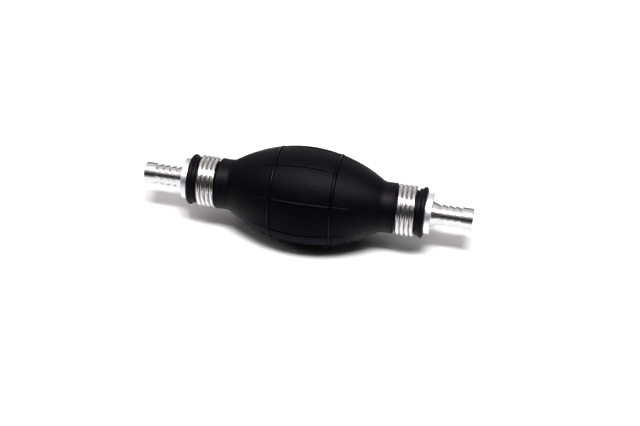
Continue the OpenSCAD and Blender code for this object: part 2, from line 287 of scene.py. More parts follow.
# %% Finish helper
def finish(name, **shader):
    """An empty Principled material and the bench to build it on."""
    material = bpy.data.materials.new(name)
    material.use_nodes = True
    bench = Bench(material.node_tree)
    body = material.node_tree.nodes["Principled BSDF"]
    for socket, value in shader.items():
        body.inputs[socket.replace("_", " ")].default_value = value
    place = bench.node("ShaderNodeTexCoord").outputs["Object"]
    print("finish:", name)
    return material, bench, body, place


def noise(bench, place, scale, detail):
    """Cloudy noise from 0 to 1. Detail is how many finer layers lie over the first."""
    made = bench.node("ShaderNodeTexNoise", {}, {"Vector": place, "Scale": scale, "Detail": detail})
    return Num(bench, made.outputs["Fac"])


def attribute(bench, name):
    """A number that a Geometry Nodes tree stored on the mesh."""
    return Num(bench, bench.node("ShaderNodeAttribute", {"attribute_name": name}).outputs["Fac"])


def axis_parts(bench, place):
    """X, Y and Z of a place, as three numbers."""
    split = bench.node("ShaderNodeSeparateXYZ", {}, {0: place})
    return [Num(bench, split.outputs[i]) for i in range(3)]


def band(bench, value, low, high, low_out=0.0, high_out=1.0):
    """A number that goes smoothly from low_out to high_out while value goes from low to high."""
    made = bench.node("ShaderNodeMapRange", {"interpolation_type": "SMOOTHSTEP"},
                      {"Value": value, "From Min": low, "From Max": high,
                       "To Min": low_out, "To Max": high_out})
    return Num(bench, made.outputs[0])


def bumped(bench, body, height, distance):
    """Feeds a height into the shader's normal. Distance is the height of 1, in metres."""
    bump = bench.node("ShaderNodeBump", {}, {"Height": height, "Distance": distance, "Strength": 1.0})
    bench.plug(body.inputs["Normal"], bump.outputs["Normal"])


print("finish helpers ready")

# %% [markdown]
# ### Moulded rubber
# Fuel-proof rubber is black all through and gives back almost no light of its own, so its form is
# read from a soft sheen. The mould was spark-eroded, which leaves a fine grain with a coarser
# pebble under it. Handling polishes the crests of the ribs and, less, the necks. It also leaves
# faint smears and a few specks of dust. At the feet of the ribs a near-black shader is mixed in:
# that is painted shade, standing in for the shadow in those corners. Two marks that the rib tree
# stores on the mesh tell this finish where the crests are and where the painted shade goes.

# %% Bulb rubber
NECK_FROM_X, NECK_FULL_X = 38.1, 38.5


def make_bulb_rubber():
    material, bench, body, place = finish(
        "bulb rubber", Specular_IOR_Level=0.056, Specular_Tint=(0.92, 0.83, 1.0, 1),
        Sheen_Weight=0.01, Sheen_Roughness=0.6, Coat_Roughness=0.4)
    crest = attribute(bench, "rib_crest")
    # The second mark says where painted shade goes, in the corners at the feet of the ribs.
    painted_shade = attribute(bench, "rib_crease")
    grain = noise(bench, place, 5200, 3)
    pebble = noise(bench, place, 1300, 2)
    cloud = noise(bench, place, 90, 4)
    fleck = band(bench, noise(bench, place, 1500, 1), 0.735, 0.78)
    from_middle = bench.maths("ABSOLUTE", axis_parts(bench, place)[0])
    neck = band(bench, from_middle, NECK_FROM_X * MM, NECK_FULL_X * MM)
    smear = band(bench, cloud, 0.45, 0.75)
    black = bench.mix(smear, (0.0004, 0.0003, 0.0015, 1), (0.0011, 0.0008, 0.0024, 1))
    black = bench.mix(fleck * 0.5, black, (0.012, 0.012, 0.013, 1))
    bench.plug(body.inputs["Base Color"], black)
    rough = 0.31 + 0.10 * grain + 0.20 * pebble + 0.05 * smear - 0.26 * crest
    bench.plug(body.inputs["Roughness"], rough)
    bench.plug(body.inputs["Coat Weight"], 0.06 * crest + 0.06 * neck)
    bumped(bench, body, grain + 0.6 * neck * grain + 8.0 * pebble, 18 * MICRON)
    # Painted shade: a near-black shader mixed in at the feet of the ribs, standing in for the shadow in
    # those corners.
    foot = bench.node("ShaderNodeBsdfDiffuse", {}, {"Color": (0.0005, 0.0005, 0.0006, 1)})
    both = bench.node(
        "ShaderNodeMixShader", {}, {0: 0.95 * painted_shade, 1: body.outputs[0], 2: foot.outputs[0]})
    bench.plug(material.node_tree.nodes["Material Output"].inputs["Surface"], both.outputs[0])
    return material


bulb_rubber = make_bulb_rubber()

# %% [markdown]
# ### Turned aluminium
# The lathe tool leaves fine rings round the axis, each at its own place along X. The noise reads
# only two numbers, X and the distance from the axis, so it cannot change on the way round and
# comes out as rings. Fingers dull the metal in patches. The rim of the flange keeps the drawn skin
# of the bar it was turned from, so it is rougher than the cuts.

# %% Turned aluminium
RIM_FROM_R, RIM_FULL_R = 9.2, 9.7


def lathe_place(bench, place):
    """The distance from the X axis, and a place that does not change on the way round it."""
    along, across, up = axis_parts(bench, place)
    out = bench.maths("SQRT", across * across + up * up)
    return out, bench.node("ShaderNodeCombineXYZ", {}, {0: along, 1: out, 2: 0.0}).outputs[0]


def make_turned_aluminium():
    material, bench, body, place = finish("turned aluminium", Metallic=1.0)
    out, ringed = lathe_place(bench, place)
    rings = noise(bench, ringed, 9000, 3)
    bands = noise(bench, ringed, 900, 2)
    stain = noise(bench, place, 160, 4)
    metal = bench.mix(band(bench, stain, 0.4, 0.8), (0.90, 0.905, 0.91, 1), (0.82, 0.82, 0.835, 1))
    metal = bench.mix(band(bench, rings, 0.55, 0.8) * 0.5, metal, (0.72, 0.72, 0.74, 1))
    bench.plug(body.inputs["Base Color"], metal)
    rim = band(bench, out, RIM_FROM_R * MM, RIM_FULL_R * MM)
    rough = 0.05 + 0.06 * bands + 0.05 * band(bench, stain, 0.5, 0.8) + 0.3 * rim
    bench.plug(body.inputs["Roughness"], rough)
    bumped(bench, body, rings + bands, 2.2 * MICRON)
    return material


turned_aluminium = make_turned_aluminium()

# %% [markdown]
# ### Drawn wire
# Wire is pulled through a die, which draws faint lines along it. The lines follow the coil, so the
# Geometry Nodes tree that winds the wire also stores how far round the wire and how far along it
# each point is, and the finish reads those two instead of a place in space. A whole turn along the
# coil counts for little beside the way round the wire, so the noise comes out as long lines.

# %% Clamp wire and spring wire
TURN_DRIFT = 0.12


def make_drawn_wire(name, bright, dull, roughness):
    material, bench, body, place = finish(name, Metallic=1.0)
    side = attribute(bench, "wire_side") * math.tau
    run = attribute(bench, "wire_run") * TURN_DRIFT
    spun = bench.node("ShaderNodeCombineXYZ", {}, {
        0: bench.maths("COSINE", side), 1: bench.maths("SINE", side), 2: run,
    }).outputs[0]
    lines = noise(bench, spun, 14, 3)
    cloud = noise(bench, place, 320, 3)
    metal = bench.mix(band(bench, cloud, 0.35, 0.75), bright, dull)
    metal = bench.mix(band(bench, lines, 0.55, 0.75) * 0.6, metal, dull)
    bench.plug(body.inputs["Base Color"], metal)
    bench.plug(body.inputs["Roughness"], roughness + 0.12 * band(bench, lines, 0.35, 0.75))
    bumped(bench, body, lines, 6 * MICRON)
    return material


clamp_wire = make_drawn_wire("clamp wire", (0.71, 0.705, 0.69, 1), (0.56, 0.555, 0.54, 1), 0.12)
spring_wire = make_drawn_wire("spring wire", (0.62, 0.62, 0.62, 1), (0.42, 0.42, 0.43, 1), 0.2)

# %% [markdown]
# ### Finishes of the valve pieces
# The valve pieces sit inside the fittings, where only a light down the passage reaches them. They
# still get true finishes: turned brass, moulded acetal, dark brown seal rubber and punched steel.

# %% Valve finishes
def make_seat_brass():
    material, bench, body, place = finish("seat brass", Metallic=1.0)
    rings = noise(bench, lathe_place(bench, place)[1], 11000, 2)
    tarnish = band(bench, noise(bench, place, 420, 4), 0.4, 0.75)
    metal = bench.mix(tarnish, (0.80, 0.62, 0.31, 1), (0.56, 0.40, 0.19, 1))
    bench.plug(body.inputs["Base Color"], metal)
    bench.plug(body.inputs["Roughness"], 0.2 + 0.15 * tarnish)
    bumped(bench, body, rings, 2 * MICRON)
    return material


def make_valve_acetal():
    material, bench, body, place = finish("valve acetal")
    haze = band(bench, noise(bench, place, 500, 3), 0.35, 0.75)
    grain = noise(bench, place, 9000, 2)
    plastic = bench.mix(haze, (0.86, 0.85, 0.80, 1), (0.79, 0.77, 0.70, 1))
    bench.plug(body.inputs["Base Color"], plastic)
    bench.plug(body.inputs["Roughness"], 0.34 + 0.12 * haze)
    bumped(bench, body, grain, 4 * MICRON)
    return material


def make_seal_rubber():
    material, bench, body, place = finish("seal rubber", Specular_IOR_Level=0.35)
    grain = noise(bench, place, 7000, 3)
    bloom = band(bench, noise(bench, place, 700, 3), 0.5, 0.8)
    brown = bench.mix(bloom, (0.058, 0.030, 0.019, 1), (0.095, 0.058, 0.042, 1))
    bench.plug(body.inputs["Base Color"], brown)
    bench.plug(body.inputs["Roughness"], 0.5 + 0.15 * grain)
    bumped(bench, body, grain, 8 * MICRON)
    return material


def make_punched_steel():
    material, bench, body, place = finish("punched steel", Metallic=1.0)
    cloud = band(bench, noise(bench, place, 800, 4), 0.35, 0.75)
    metal = bench.mix(cloud, (0.60, 0.60, 0.61, 1), (0.40, 0.40, 0.42, 1))
    bench.plug(body.inputs["Base Color"], metal)
    bench.plug(body.inputs["Roughness"], 0.24 + 0.14 * cloud)
    bumped(bench, body, cloud, 3 * MICRON)
    return material


seat_brass = make_seat_brass()
valve_acetal = make_valve_acetal()
seal_rubber = make_seal_rubber()
punched_steel = make_punched_steel()

# %% [markdown]
# ## The bulb
# On the real pump the bulb is one moulding: a belly that is squeezed, and at each end a neck with
# a groove for the wire clamp, a low collar and a round bead. It is as round as the mould's two
# cores, so one outline gives the whole shape. Only the half towards the outlet is written, and its
# mirror image is the other half. The rows are set close together where a ring rib will stand.

# %% Outline of the rubber
BELLY_R, CURVE_R, WALL = 24.0, 67.0, 3.0
SINK = CURVE_R - BELLY_R
NECK_R, NECK_BORE_R = 12.5, 8.35
NECK_X, LIP_FOOT_X, LIP_X, LIP_R = 41.0, 42.6, 43.0, NECK_R + 0.15
FILLET_R, FILLET_X = 4.0, 38.736
TOUCH_X = FILLET_X * CURVE_R / (CURVE_R + FILLET_R)
GROOVE_X, GROOVE_END_X, GROOVE_R = 43.933, 54.77, 10.5
COLLAR_R, BULB_END_X = 11.6, 58.77
BEAD_R, BEAD_CREST_R, BEAD_FOOT_FILLET = 1.3, 12.6, 0.12
BORE_X, HOLLOW_FIRST, HOLLOW_STEP = 48.0, 34, 4
SHOULDER_STEPS, BEAD_STEPS = 9, 18
RIB_COUNT, RIB_FIRST, RIB_TOP = 8, math.radians(10), 0.45
RING_X, RING_TOP = 15.0, 0.5
RING_ROW_STEP, RING_ROWS, RING_CLEAR = 0.12, 11, 1.8
BELLY_ROW_STEP, SHOULDER_CLEAR = 1.1, 0.6


def belly_r(x, curve_r=CURVE_R):
    """Radius of the belly at a place along X. A smaller curve gives its inner wall."""
    return math.sqrt(curve_r ** 2 - x ** 2) - SINK


def belly_places():
    """Places along X from the middle to the shoulder, close together at the ring rib."""
    near_ring = [RING_X + RING_ROW_STEP * k for k in range(-RING_ROWS, RING_ROWS + 1)]
    coarse = [BELLY_ROW_STEP * k for k in range(1, math.ceil(TOUCH_X / BELLY_ROW_STEP))]
    coarse = [x for x in coarse if abs(x - RING_X) > RING_CLEAR and x < TOUCH_X - SHOULDER_CLEAR]
    return sorted(near_ring + coarse)


def rubber_outline():
    """The half towards the outlet: out along the skin, round the mouth, back along the bore."""
    skin = [(0, BELLY_R, 0)] + [(x, belly_r(x), 0) for x in belly_places()]
    shoulder_start = math.degrees(math.atan2(belly_r(TOUCH_X) - NECK_R - FILLET_R, TOUCH_X - FILLET_X))
    shoulder = arc(FILLET_X, NECK_R + FILLET_R, FILLET_R, shoulder_start, -90, SHOULDER_STEPS)
    neck = [
        (NECK_X, NECK_R, 0), (LIP_FOOT_X, NECK_R, 0.8), (LIP_X, LIP_R, 0.4),
        (GROOVE_X, LIP_R, 0.6), (GROOVE_X, GROOVE_R, 0.25),
        (GROOVE_END_X, GROOVE_R, 0.25), (GROOVE_END_X, COLLAR_R, 0.2),
    ]
    bead_centre_r = BEAD_CREST_R - BEAD_R
    foot = math.degrees(math.asin((COLLAR_R - bead_centre_r) / BEAD_R))
    bead = arc(BULB_END_X - BEAD_R, bead_centre_r, BEAD_R, 180 - foot, 0, BEAD_STEPS)
    bead[0] = (*bead[0][:2], BEAD_FOOT_FILLET)
    mouth = [(BULB_END_X, NECK_BORE_R, 0.3), (BORE_X, NECK_BORE_R, 0)]
    bore_end = math.sqrt((CURVE_R - WALL) ** 2 - (NECK_BORE_R + SINK) ** 2)
    hollow = [(bore_end, NECK_BORE_R, 1.5)]
    hollow += [(x, belly_r(x, CURVE_R - WALL), 0) for x in range(HOLLOW_FIRST, 0, -HOLLOW_STEP)]
    return rounded(skin + shoulder + neck + bead + mouth + hollow, closed=False)


half_outline = rubber_outline()
outline = mirrored(half_outline)[:-1] + half_outline
print("rubber outline:", len(outline), "points,", 2 * BULB_END_X, "mm long")

# %% [markdown]
# ### Where the columns go
# Eight lengthwise ribs will be raised from the skin, as the mould does it, instead of bars being
# stuck on it. A rib is only a millimetre wide on a belly of 48, and even columns fine enough for it
# would waste most of their points between the ribs. So each rib gets a fan of close columns at its
# middle that opens out on both sides. The steps of the fan are in degrees.

# %% Columns of the rubber
FAN = [0, 0.3, 0.6, 0.9, 1.15, 1.4, 1.7, 2.1, 2.8, 4, 6, 8.5, 11.5, 15, 18.7]


def bulb_columns():
    """Angles about X: each rib's own fan of columns, and one column midway between ribs."""
    sector = 360 / RIB_COUNT
    fan = sorted({side * o for o in FAN for side in (-1, 1)} | {sector / 2})
    return [RIB_FIRST + math.radians(k * sector + o) for k in range(RIB_COUNT) for o in fan]


bulb_shell = turned("bulb_moulded", outline, bulb_columns())

# %% [markdown]
# ### Helpers for trees that make shapes
# The bulb's ribs and the wound wires follow rules, so Geometry Nodes make them. Each tree needs the
# same few things: named inputs for its sizes, an end that leaves a real mesh in its finish, and a
# way to run once and keep the result. A modifier knows its inputs by the identifiers of the
# sockets and not by their labels, so the labels are looked up.

# %% Tree helpers
def new_tree(name, inputs):
    """A Geometry Nodes tree with a geometry input and named number inputs."""
    tree = bpy.data.node_groups.new(name, "GeometryNodeTree")
    tree.interface.new_socket("Geometry", in_out="INPUT", socket_type="NodeSocketGeometry")
    tree.interface.new_socket("Geometry", in_out="OUTPUT", socket_type="NodeSocketGeometry")
    for label, value in inputs.items():
        socket = tree.interface.new_socket(label, in_out="INPUT", socket_type="NodeSocketFloat")
        socket.default_value = value
    bench = Bench(tree)
    entry = bench.node("NodeGroupInput")
    numbers = {label: Num(bench, entry.outputs[label]) for label in inputs}
    return bench, entry.outputs["Geometry"], numbers


def close_tree(bench, geometry, material):
    """Realize Instances and Set Material, then out."""
    real = bench.node("GeometryNodeRealizeInstances", {}, {"Geometry": geometry}).outputs[0]
    painted = bench.node("GeometryNodeSetMaterial", {}, {"Geometry": real, "Material": material}).outputs[0]
    way_out = bench.node("NodeGroupOutput")
    bench.plug(way_out.inputs["Geometry"], painted)


def run_tree(piece, bench, values):
    """Runs a tree on a piece with these inputs and keeps the result as a plain mesh."""
    modifier = piece.modifiers.new("tree", "NODES")
    modifier.node_group = bench.tree
    for item in bench.tree.interface.items_tree:
        if item.in_out == "INPUT" and item.name in values:
            modifier[item.identifier] = values[item.name]
    graph = bpy.context.evaluated_depsgraph_get()
    graph.update()
    made = bpy.data.meshes.new_from_object(piece.evaluated_get(graph))
    piece.modifiers.remove(modifier)
    piece.data = made
    made.name = piece.name
    made.shade_smooth()
    print(piece.name, "from tree:", len(made.polygons), "faces")
    return piece


def stored(bench, geometry, name, value):
    """Keeps a number on every point of the geometry, for a finish to read."""
    made = bench.node("GeometryNodeStoreNamedAttribute", {"data_type": "FLOAT", "domain": "POINT"},
                      {"Geometry": geometry, "Name": name, "Value": value})
    return made.outputs[0]


print("tree helpers ready")

# %% [markdown]
# ### Grip ribs raised by rule
# Two ring ribs and eight lengthwise ribs keep a wet hand from slipping. Each follows a rule: a ring
# rib depends on the distance from its place along X, and a lengthwise rib on the angle to the
# nearest of eight. The tree works out both heights, joins them with a smooth maximum, which gives
# the small fillets at their feet, and moves each point of the skin outwards by the result. It also
# stores the two marks for the finish: where the crests are, and where painted shade goes at the
# feet of the ribs. A mark fades in over a span of heights, in millimetres.

# %% Grip rib tree
SKIN_DEPTH = 1.0
CREST_FROM, CREST_FULL = 0.05, 0.30
# How much painted shade shows beside a lengthwise rib, by how high the rib stands.
STAND_FROM, STAND_FULL, STAND_SHARE = 0.10, 0.35, 0.7
# Where the painted shade at a rib's foot fades out, in mm; it stands in for the shadow in that corner.
PAINTED_SHADE_DEPTH, PAINTED_SHADE_FULL, PAINTED_SHADE_GONE = 0.08, 0.12, 0.50


def make_grip_rib_tree():
    bench, geometry, size = new_tree("grip ribs", {
        "Curve Radius": 0, "Curve Sink": 0, "Rib Count": 8, "First Angle": 0, "Rib Bend": 0,
        "Rib Bend Sink": 0, "Rib Sharpness": 0, "Ring Place": 0, "Ring Height": 0,
        "Ring Sharpness": 0, "Foot": 0,
    })
    x, y, z = axis_parts(bench, bench.node("GeometryNodeInputPosition").outputs[0])
    out = bench.maths("SQRT", y * y + z * z)
    skin = bench.maths("SQRT", size["Curve Radius"] * size["Curve Radius"] - x * x) - size["Curve Sink"]
    crest = bench.maths("SQRT", size["Rib Bend"] * size["Rib Bend"] - x * x) - size["Rib Bend Sink"]
    sector = math.pi / size["Rib Count"]
    turn = bench.maths("ARCTAN2", z, y) - size["First Angle"]
    aside = bench.maths("WRAP", turn, sector, -sector) * out
    rib = crest - skin - size["Rib Sharpness"] * aside * aside
    off_ring = bench.maths("ABSOLUTE", x) - size["Ring Place"]
    ring = size["Ring Height"] - size["Ring Sharpness"] * off_ring * off_ring
    ribs = bench.maths("SMOOTH_MAX", rib, ring, size["Foot"] * 0.5)
    lift = bench.maths("SMOOTH_MAX", ribs, 0.0, size["Foot"])
    on_skin = bench.maths("GREATER_THAN", out, skin - SKIN_DEPTH * MM)
    lift = lift * on_skin / out
    moved = bench.node("ShaderNodeCombineXYZ", {}, {0: 0.0, 1: y * lift, 2: z * lift}).outputs[0]
    raised = bench.node("GeometryNodeSetPosition", {}, {"Geometry": geometry, "Offset": moved}).outputs[0]
    top = bench.maths("MAXIMUM", ring, rib)
    standing = band(bench, crest - skin, STAND_FROM * MM, STAND_FULL * MM, high_out=STAND_SHARE)

    def beside(height):
        """1 at the foot of a rib, where its rule passes through the skin: the mask of the painted shade."""
        off_foot = bench.maths("ABSOLUTE", height + PAINTED_SHADE_DEPTH * MM)
        return band(bench, off_foot, PAINTED_SHADE_FULL * MM, PAINTED_SHADE_GONE * MM, low_out=1.0, high_out=0.0)

    # The second mark is painted shade in the corners at the feet of the ribs.
    marks = {
        "rib_crest": on_skin * band(bench, top, CREST_FROM * MM, CREST_FULL * MM),
        "rib_crease": on_skin * bench.maths("MAXIMUM", beside(ring), beside(rib) * standing),
    }
    for mark, value in marks.items():
        raised = stored(bench, raised, mark, value)
    close_tree(bench, raised, bulb_rubber)
    return bench


rib_tree = make_grip_rib_tree()
print("grip rib tree:", len(rib_tree.tree.nodes), "nodes")

# %% [markdown]
# ### The ribs on the bulb
# The lengthwise ribs fade out before the shoulders, because their crests follow a tighter curve
# than the belly does. A sharpness says how fast a rib falls away: how many millimetres lower it is
# one millimetre from its middle. The tree runs once, on the turned moulding, and the ribbed bulb
# then stands for the frame's own.

# %% Raise the ribs
RIB_BEND_R = 62.7
RIB_SHARPNESS, RING_SHARPNESS, RIB_FOOT = 1.54, 1.11, 0.10
bulb = run_tree(bulb_shell, rib_tree, {
    "Curve Radius": CURVE_R * MM, "Curve Sink": SINK * MM, "Rib Count": float(RIB_COUNT),
    "First Angle": RIB_FIRST, "Rib Bend": RIB_BEND_R * MM,
    "Rib Bend Sink": (RIB_BEND_R - BELLY_R - RIB_TOP) * MM, "Rib Sharpness": RIB_SHARPNESS / MM,
    "Ring Place": RING_X * MM, "Ring Height": RING_TOP * MM,
    "Ring Sharpness": RING_SHARPNESS / MM, "Foot": RIB_FOOT * MM,
})
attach(bulb, "root")
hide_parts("bulb")

# %% [markdown]
# ## The fittings
# Each end fitting is one turning: a ribbed spigot inside the rubber neck, a flange, and the barbed
# tail for the hose. Its edges are broken by one to three tenths of a millimetre, as a lathe hand
# does with a file. The two fittings are the same part, so the inlet one is the mirrored outline.

# %% Outline of a fitting
PASSAGE_R, CHAMBER_R, SNAP_R = 3.5, 6.0, 6.5
SPIGOT_X, SNAP_X, SNAP_END_X, CHAMBER_END_X = 38.87, 39.82, 40.92, 55.82
SPIGOT_R, SPIGOT_CREST_R, SPIGOT_RIBS, SPIGOT_PITCH = 7.8, 8.3, 5, 3.2
FLANGE_R, FLANGE_X, FLANGE_END_X = 10.0, 58.77, 61.87
CONE_R, CONE_END_X = 6.2, 66.37
BARB_ROOT_R, BARB_CREST_R, BARBS, BARB_PITCH = 4.5, 5.5, 3, 3.3
LAND_X, LAND_R, TIP_X = 76.27, 5.4, 81.87
CHAMFER = 0.5


def fitting_outline():
    """The outlet fitting, from the spigot's end out to the tip and back through the bore."""
    corners = [
        (SPIGOT_X, CHAMBER_R, 0.1), (SPIGOT_X, SPIGOT_R - CHAMFER, 0.1),
        (SPIGOT_X + CHAMFER, SPIGOT_R, 0.1),
    ]
    for k in range(SPIGOT_RIBS):
        x = FLANGE_X - (SPIGOT_RIBS - k) * SPIGOT_PITCH
        corners += [(x - SPIGOT_PITCH / 2, SPIGOT_R, 0), (x, SPIGOT_CREST_R, 0.06), (x, SPIGOT_R, 0.06)]
    corners += [
        (FLANGE_X, SPIGOT_R, 0.15), (FLANGE_X, FLANGE_R, 0.32),
        (FLANGE_END_X, FLANGE_R, 0.32), (FLANGE_END_X, CONE_R, 0.2),
    ]
    for k in range(BARBS):
        x = CONE_END_X + k * BARB_PITCH
        corners += [(x, BARB_ROOT_R, 0.12), (x, BARB_CREST_R, 0.09)]
    corners += [
        (LAND_X, BARB_ROOT_R, 0.12), (LAND_X, LAND_R, 0.09), (TIP_X, LAND_R, 0.35),
        (TIP_X, PASSAGE_R, 0.3), (CHAMBER_END_X, PASSAGE_R, 0.1), (CHAMBER_END_X, CHAMBER_R, 0.1),
        (SNAP_END_X, CHAMBER_R, 0.06), (SNAP_END_X, SNAP_R, 0.1), (SNAP_X, SNAP_R, 0.1),
        (SNAP_X, CHAMBER_R, 0.06),
    ]
    return rounded(corners)


FITTING_COLUMNS = 160
fittings = {OUTLET: fitting_outline(), INLET: mirrored(fitting_outline())}
for end, points in fittings.items():
    fitting = turned(end + "_fitting_turned", points, even_columns(FITTING_COLUMNS))
    fitting.data.materials.append(turned_aluminium)
    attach(fitting, "root")
    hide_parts(end + "_fitting")

# %% [markdown]
# ## Wound wire
# The clamps and the valve springs are both round wire on a helix, so one Geometry Nodes tree makes
# all four. It bends a straight line of points onto the helix by each point's share of the length,
# and sweeps a circle along it. The end turns lie closed at their own pitch. In a clamp every turn
# is closed, in a spring only the last ones, and the rest of the rise goes into the open turns. A
# sliver keeps the span of the open turns from being nothing in a clamp. At the cut ends the wire
# is drawn in a little over the last hundredth of a turn, which breaks the sharp edge.

# %% Wound wire tree
TURN_POINTS = 72
SIDE_POINTS = 24
SLIVER = 0.0001
END_TURNS, END_SHARE = 0.012, 0.8


def make_wound_wire_tree(material):
    bench, _, size = new_tree("wound wire", {
        "Start": 0, "Length": 0, "Turns": 1, "Start Angle": 0, "Coil Radius": 0, "Wire Radius": 0,
        "Closed Turns": 1, "Closed Pitch": 0, "Points": 100,
    })
    line = bench.node("GeometryNodeCurvePrimitiveLine", {}, {"End": (1, 0, 0)}).outputs[0]
    dense = bench.node("GeometryNodeResampleCurve", {}, {"Curve": line, "Count": size["Points"]}).outputs[0]
    share = Num(bench, bench.node("GeometryNodeSplineParameter").outputs["Factor"])
    closed_share = size["Closed Turns"] / size["Turns"]
    closed_rise = size["Closed Turns"] * size["Closed Pitch"]

    def part(low, high, rise):
        """The rise along X of one stretch of the wire, from 0 at its start to all at its end."""
        made = bench.node("ShaderNodeMapRange", {}, {
            "Value": share, "From Min": low, "From Max": high, "To Min": 0.0, "To Max": rise})
        return Num(bench, made.outputs[0])

    rise = part(0.0, closed_share, closed_rise)
    rise = rise + part(closed_share, 1.0 + SLIVER - closed_share, size["Length"] - closed_rise * 2)
    rise = rise + part(1.0 - closed_share, 1.0, closed_rise)
    angle = size["Start Angle"] + share * size["Turns"] * math.tau
    on_helix = bench.node("ShaderNodeCombineXYZ", {}, {
        0: size["Start"] + rise,
        1: bench.maths("COSINE", angle) * size["Coil Radius"],
        2: bench.maths("SINE", angle) * size["Coil Radius"],
    }).outputs[0]
    wound = bench.node("GeometryNodeSetPosition", {}, {"Geometry": dense, "Position": on_helix}).outputs[0]
    to_end = bench.maths("MINIMUM", share, 1.0 - share) * size["Turns"]
    blunt = band(bench, to_end, 0.0, END_TURNS, low_out=END_SHARE)
    run = stored(bench, wound, "wire_run", share * size["Turns"])
    ring = bench.node("GeometryNodeCurvePrimitiveCircle", {}, {"Resolution": SIDE_POINTS, "Radius": 1.0})
    side = bench.node("GeometryNodeSplineParameter").outputs["Factor"]
    marked = stored(bench, ring.outputs[0], "wire_side", side)
    swept = bench.node("GeometryNodeCurveToMesh", {}, {
        "Curve": run, "Profile Curve": marked, "Scale": blunt * size["Wire Radius"],
        "Fill Caps": True}).outputs[0]
    close_tree(bench, swept, material)
    return bench


clamp_tree = make_wound_wire_tree(clamp_wire)
spring_tree = make_wound_wire_tree(spring_wire)
print("wound wire trees:", len(clamp_tree.tree.nodes), "nodes each")

# %% [markdown]
# ### Wire clamps
# Each clamp is three and three quarter turns of stiff wire, wound close in the groove of its neck.
# A stack of rings would look the same from afar, but it would have no slope and no cut ends. Both
# clamps are wound the same way and start at the same angle, since they are one part used twice.

# %% Wire clamps
def wound_wire(name, bench, values):
    """A wire from a tree that needs no mesh to start from."""
    mesh = bpy.data.meshes.new(name)
    piece = bpy.data.objects.new(name, mesh)
    bpy.context.scene.collection.objects.link(piece)
    return run_tree(piece, bench, values)


CLAMP_X, CLAMP_PITCH, CLAMP_TURNS = 49.352, 2.25, 3.75
CLAMP_COIL_R, CLAMP_WIRE_R, CLAMP_START = 11.7, 1.1, math.radians(325)
clamp_len = CLAMP_TURNS * CLAMP_PITCH
for end, middle_x in {OUTLET: CLAMP_X, INLET: -CLAMP_X}.items():
    clamp = wound_wire(end + "_clamp_wound", clamp_tree, {
        "Start": (middle_x - clamp_len / 2) * MM, "Length": clamp_len * MM, "Turns": CLAMP_TURNS,
        "Start Angle": CLAMP_START, "Coil Radius": CLAMP_COIL_R * MM,
        "Wire Radius": CLAMP_WIRE_R * MM, "Closed Turns": CLAMP_TURNS / 2,
        "Closed Pitch": CLAMP_PITCH * MM, "Points": CLAMP_TURNS * TURN_POINTS,
    })
    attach(clamp, "root")
    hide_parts(end + "_clamp")

# %% [markdown]
# ### Valve springs
# Each spring sits between its poppet's head and the guide's spokes. When the poppet lifts the
# spring is pressed shorter towards the guide. Places along a valve are counted from the end of its
# chamber at which the flow comes in.

# %% Valve springs
VALVE_X = {INLET: -CHAMBER_END_X, OUTLET: SNAP_END_X}
SPRING_START, SPRING_END, SPRING_R, SPRING_WIRE_R = 5.6, 12.4, 3.05, 0.25
SPRING_TURNS, SPRING_CLOSED, SPRING_GAP = 5.5, 0.8, 0.05
spring_len = SPRING_END - SPRING_START
spring_rise = spring_len - 2 * SPRING_WIRE_R - 2 * SPRING_GAP
for end, valve_x in VALVE_X.items():
    spring = wound_wire(end + "_valve_spring_wound", spring_tree, {
        "Start": (valve_x + SPRING_START + SPRING_GAP + SPRING_WIRE_R) * MM, "Length": spring_rise * MM,
        "Turns": SPRING_TURNS, "Start Angle": 0.0, "Coil Radius": SPRING_R * MM,
        "Wire Radius": SPRING_WIRE_R * MM, "Closed Turns": SPRING_CLOSED,
        "Closed Pitch": (2 * SPRING_WIRE_R + SPRING_GAP) * MM, "Points": SPRING_TURNS * TURN_POINTS,
    })
    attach(spring, "root")
    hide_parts(end + "_valve_spring")
    end + "_valve_lift"
    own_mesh(spring)

# %% [markdown]
# ## Valve pieces that stay
# The seats, seals, poppets, guides and snap rings already have their true shape in the frame, so
# they keep their meshes and only get a finish in their material slot.

# %% Finishes on the frame's own pieces
CARRIED = {
    "valve_seat": seat_brass, "seat_o_ring": seal_rubber, "poppet": valve_acetal,
    "poppet_seal": seal_rubber, "valve_guide": valve_acetal, "snap_ring": punched_steel,
}
for end in (INLET, OUTLET):
    for part_name, material in CARRIED.items():
        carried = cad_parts[end + "_" + part_name]
        if carried.material_slots:
            for holder in carried.material_slots:
                holder.material = material
        else:
            carried.data.materials.append(material)
print("finishes on", 2 * len(CARRIED), "valve pieces")

# %% [markdown]
# ## The studio
# The pump lies on a white table in a white room. What makes metal look like metal is what it
# mirrors, and a studio sets that with cards and dark cloths round the object. Here a Light Path
# node does it: a glossy ray, which is one that a shiny surface sends out, meets other greys than
# the light does. Below the belly the table looks dim and a little blue to it, which keeps the
# rubber's underside dark and cool. Below the clamps it looks bright, and below the tails just
# white. Far off and behind the tails it looks dark, which draws a thin dark line along every edge
# of the metal. The camera meets a white that is bright enough to leave nothing of the table but the
# shadow, and far from the pump the table glows, so that it runs into the white of the room. Each
# pair below is a span in metres, over which one colour gives way to the next.

# %% Table
TABLE_Z = cad_box[0][2]
TABLE_HALF = 3.0
PAPER, PAPER_MOTTLE, TABLE_WHITE = 0.50, 0.54, 1.5
UNDER_CLAMP, UNDER_TAIL, FAR_OFF = 1.7, 1.08, 0.35
UNDER_BELLY = (0.54, 0.52, 0.70, 1)
BELLY_LEFT, BELLY_RIGHT = (-0.045, -0.033), (0.024, 0.036)
CLAMP_TO_TAIL, BESIDE_BULB = (0.058, 0.066), (0.056, 0.066)
FAR_TO_NEAR, BEHIND_TAIL, BEHIND_ALL = (-0.40, -0.12), (0.02, 0.06), (0.11, 0.20)
GLOW = (0.25, 0.90)


def grey(level):
    """A colour with no hue, as a socket wants it."""
    return (level, level, level, 1)


